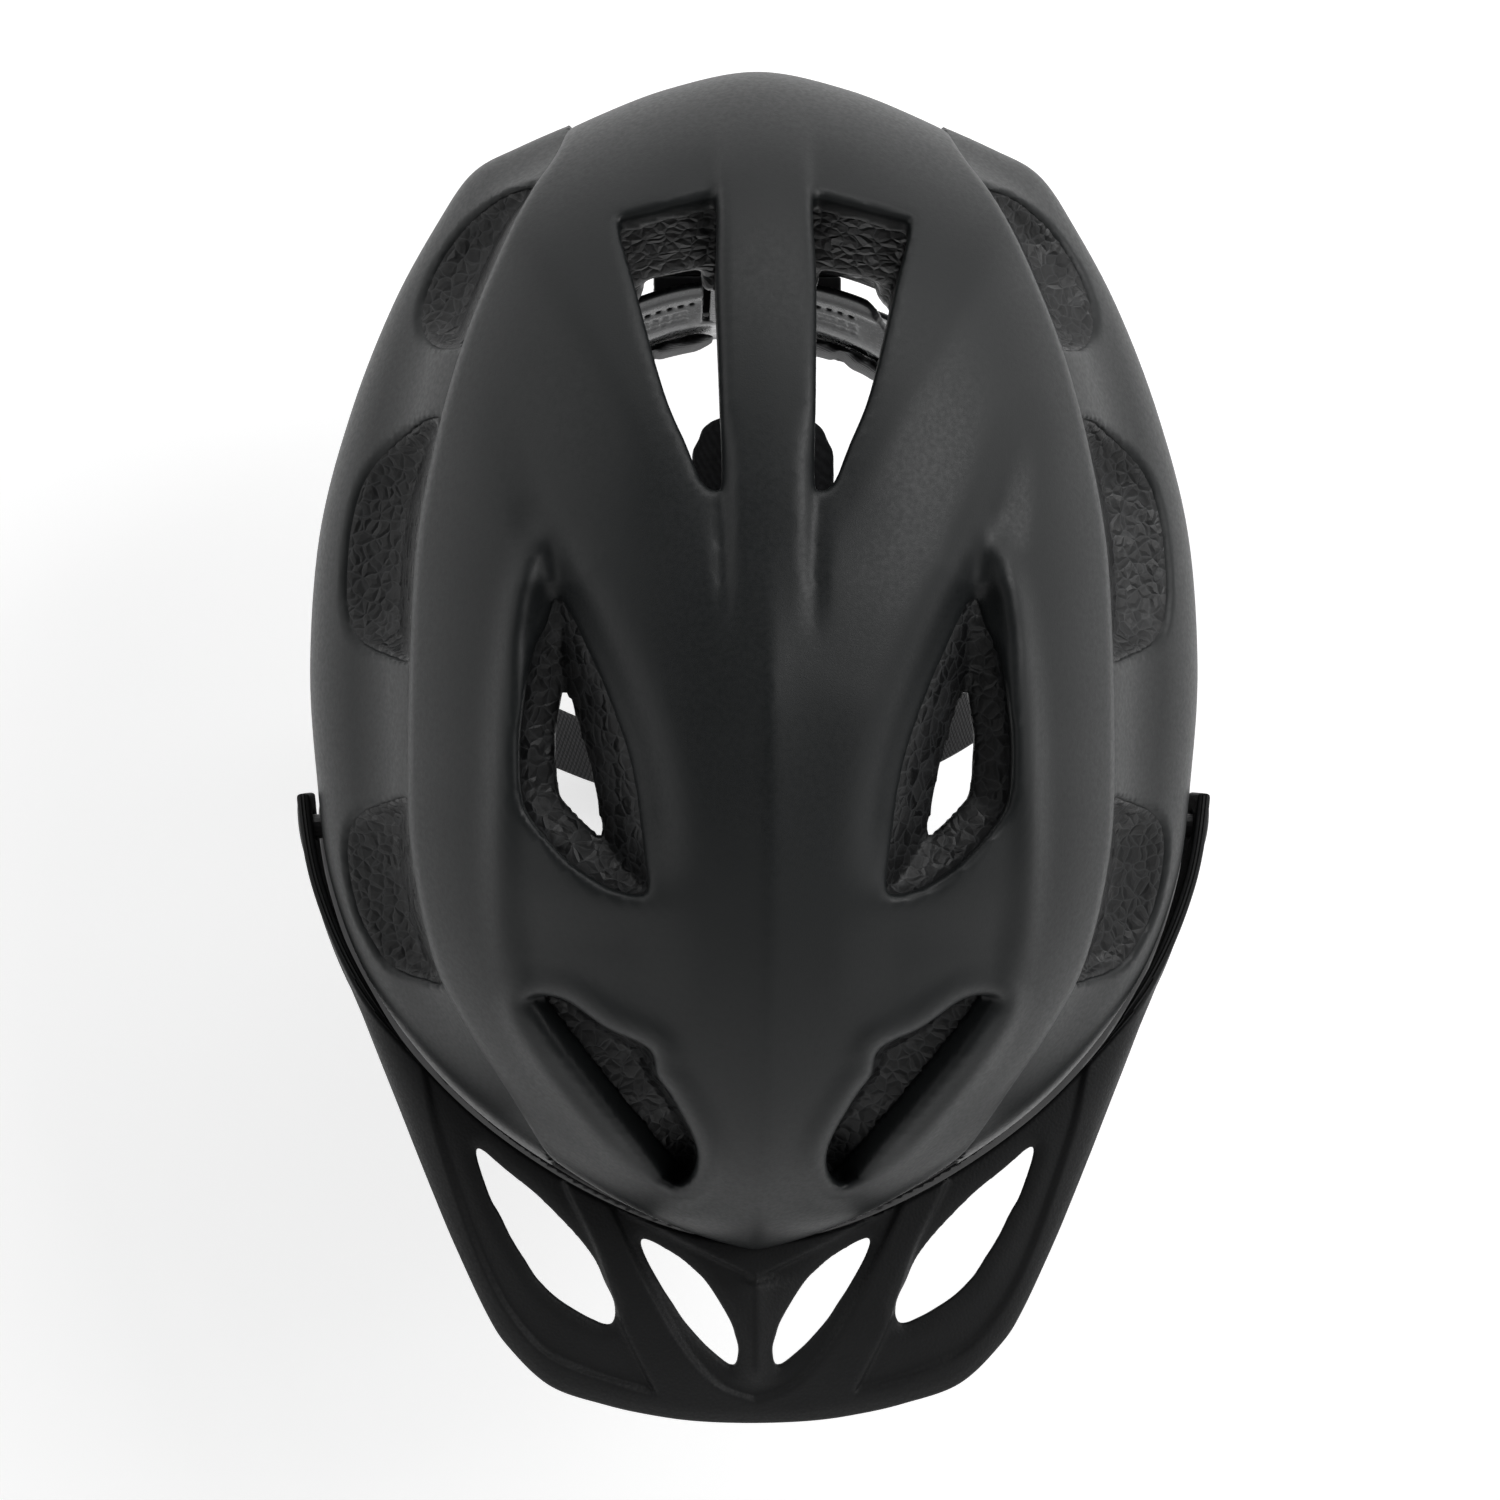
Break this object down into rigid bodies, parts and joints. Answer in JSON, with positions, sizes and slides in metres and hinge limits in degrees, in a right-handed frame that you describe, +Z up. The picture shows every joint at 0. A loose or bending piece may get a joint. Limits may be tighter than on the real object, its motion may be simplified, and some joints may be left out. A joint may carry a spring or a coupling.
{
  "type": "cycling helmet",
  "caption": "Vented cycling helmet with a tilting visor, foam liner, dial-adjusted rear cradle, webbing straps and a side-release chin buckle.",
  "frame": {"origin": "centre of the head ring, the plane in which hat size is measured, inside the liner", "axes": "+Z up towards the crown, -Y towards the visor and the wearer's face, +X towards the wearer's left"},
  "size_m": [0.216, 0.321, 0.282],
  "materials": {
    "shell": "matte charcoal-black polycarbonate",
    "band": "gloss black polycarbonate",
    "foam": "black expanded polystyrene beads",
    "visor": "finely textured matte black nylon",
    "plastic": "moulded black acetal",
    "cradle_plastic": "smooth dark grey flexible nylon",
    "rubber": "soft grip",
    "pad_fabric": "brushed knit over foam",
    "webbing": "woven polyester"
  },
  "bodies": {
    "helmet": {"upper_shell": "shell", "lower_shell": "shell", "rim_band": "band", "eps_liner": "foam", "visor_socket_left": "plastic", "visor_socket_right": "plastic", "visor_pin_left": "plastic", "visor_pin_right": "plastic", "front_pad": "pad_fabric", "side_pad_left": "pad_fabric", "side_pad_right": "pad_fabric", "crown_pad": "pad_fabric", "belt_left": "cradle_plastic", "belt_right": "cradle_plastic", "temple_anchor_left": "plastic", "temple_anchor_right": "plastic", "cradle_hanger": "cradle_plastic", "hanger_anchor": "plastic", "front_anchor_left": "plastic", "front_anchor_right": "plastic", "rear_anchor_left": "plastic", "rear_anchor_right": "plastic", "front_strap_left": "webbing", "front_strap_right": "webbing", "rear_strap_left": "webbing", "rear_strap_right": "webbing", "divider_left": "plastic", "divider_right": "plastic", "chin_strap_left": "webbing", "chin_strap_right": "webbing", "buckle_socket": "plastic"},
    "visor": {"visor": "visor"},
    "cradle": {"nape_cradle": "cradle_plastic", "nape_pad_left": "pad_fabric", "nape_pad_right": "pad_fabric", "dial_housing": "plastic", "housing_cover": "plastic"},
    "dial": {"dial_knob": "rubber", "dial_pinion": "plastic"},
    "rack_left": {"rack_left": "plastic"},
    "rack_right": {"rack_right": "plastic"},
    "lever_left": {"divider_lever_left": "plastic"},
    "lever_right": {"divider_lever_right": "plastic"},
    "plug": {"buckle_plug": "plastic"},
    "prong_front": {"buckle_prong_front": "plastic"},
    "prong_rear": {"buckle_prong_rear": "plastic"}
  },
  "joints": [
    {"name": "visor_tilt", "type": "hinge", "parent": "helmet", "child": "visor", "pos_m": [0, -0.0345, 0.014], "axis": [-1, 0, 0], "range_deg": [0, 12]},
    {"name": "cradle_shift", "type": "slide", "parent": "helmet", "child": "cradle", "axis": [0, -1, 0], "range_m": [0, 0.012], "deforming": ["belt_left", "belt_right", "cradle_hanger"]},
    {"name": "dial_spin", "type": "hinge", "parent": "cradle", "child": "dial", "pos_m": [0, 0.105, -0.056], "axis": [0, -1, 0], "range_deg": [0, 155]},
    {"name": "rack_left_slide", "type": "slide", "parent": "cradle", "child": "rack_left", "axis": [-1, 0, 0], "range_m": [0, 0.012]},
    {"name": "rack_right_slide", "type": "slide", "parent": "cradle", "child": "rack_right", "axis": [1, 0, 0], "range_m": [0, 0.012]},
    {"name": "lever_left_open", "type": "hinge", "parent": "helmet", "child": "lever_left", "pos_m": [0.0792, 0.004, -0.092], "axis": [0, -1, 0], "range_deg": [0, 70]},
    {"name": "lever_right_open", "type": "hinge", "parent": "helmet", "child": "lever_right", "pos_m": [-0.0792, 0.004, -0.092], "axis": [0, 1, 0], "range_deg": [0, 70]},
    {"name": "buckle_release", "type": "slide", "parent": "helmet", "child": "plug", "axis": [-1, 0, 0], "range_m": [0, 0.028], "deforming": ["chin_strap_right"]},
    {"name": "prong_front_squeeze", "type": "hinge", "parent": "plug", "child": "prong_front", "pos_m": [0.0052, -0.0295, -0.156], "axis": [0, 0, 1], "range_deg": [0, 6]},
    {"name": "prong_rear_squeeze", "type": "hinge", "parent": "plug", "child": "prong_rear", "pos_m": [0.0052, -0.0145, -0.156], "axis": [0, 0, -1], "range_deg": [0, 6]}
  ],
  "couplings": [
    {"joint": "dial_spin", "follows": "cradle_shift", "rad_per_m": 222.22},
    {"joint": "rack_left_slide", "follows": "cradle_shift", "ratio": 1},
    {"joint": "rack_right_slide", "follows": "cradle_shift", "ratio": 1}
  ]
}
